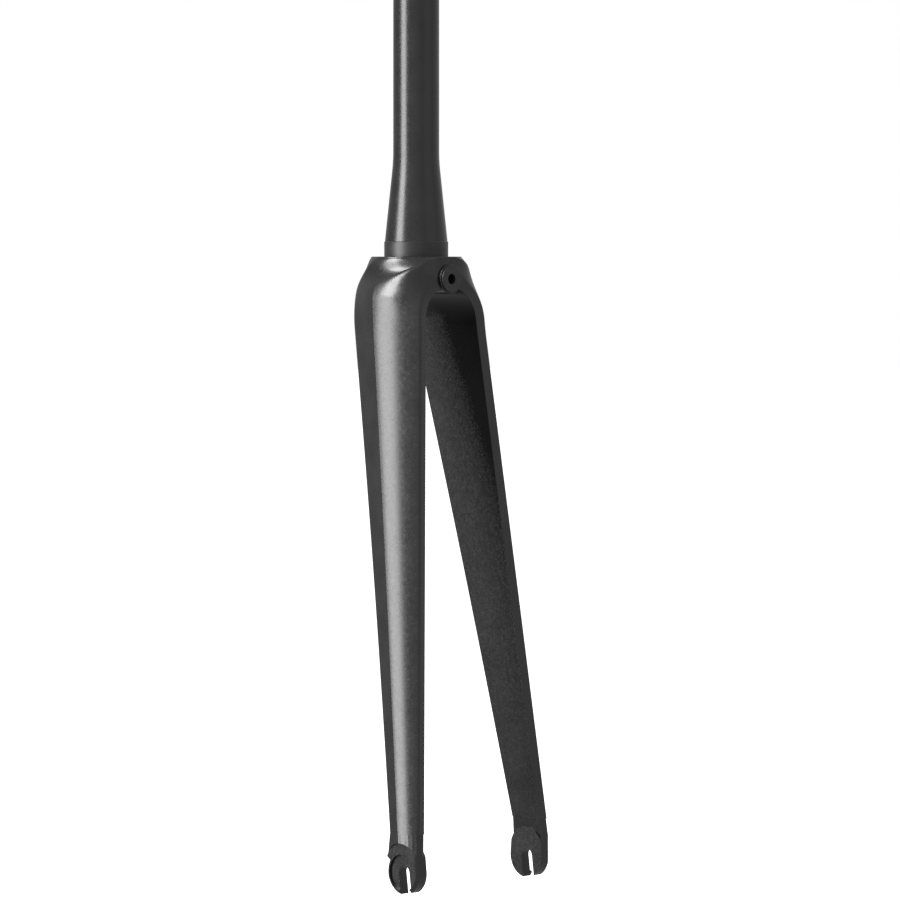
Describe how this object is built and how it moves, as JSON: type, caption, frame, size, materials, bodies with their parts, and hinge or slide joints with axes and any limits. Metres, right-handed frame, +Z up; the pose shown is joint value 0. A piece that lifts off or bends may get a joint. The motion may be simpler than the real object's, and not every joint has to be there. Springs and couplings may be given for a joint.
{
  "type": "bicycle fork",
  "caption": "Rigid road bicycle fork: tapered steerer, drilled crown and straight forward-leaning blades that end in open dropouts.",
  "frame": {"origin": "on the steering axis, at the crown's top face where the lower headset race seats", "axes": "+Z up along the steerer, -Y forward in the riding direction, +X towards the rider's left"},
  "size_m": [0.121, 0.0889, 0.6858],
  "materials": {
    "carbon_shell": "satin clear coat over dark carbon fibre",
    "carbon_dropout": "moulded dark carbon fibre, satin",
    "black_alloy": "turned aluminium, black anodised"
  },
  "bodies": {
    "root": {"fork_body": "carbon_shell", "dropout_right": "carbon_dropout", "dropout_left": "carbon_dropout", "brake_sleeve": "black_alloy"}
  },
  "joints": []
}
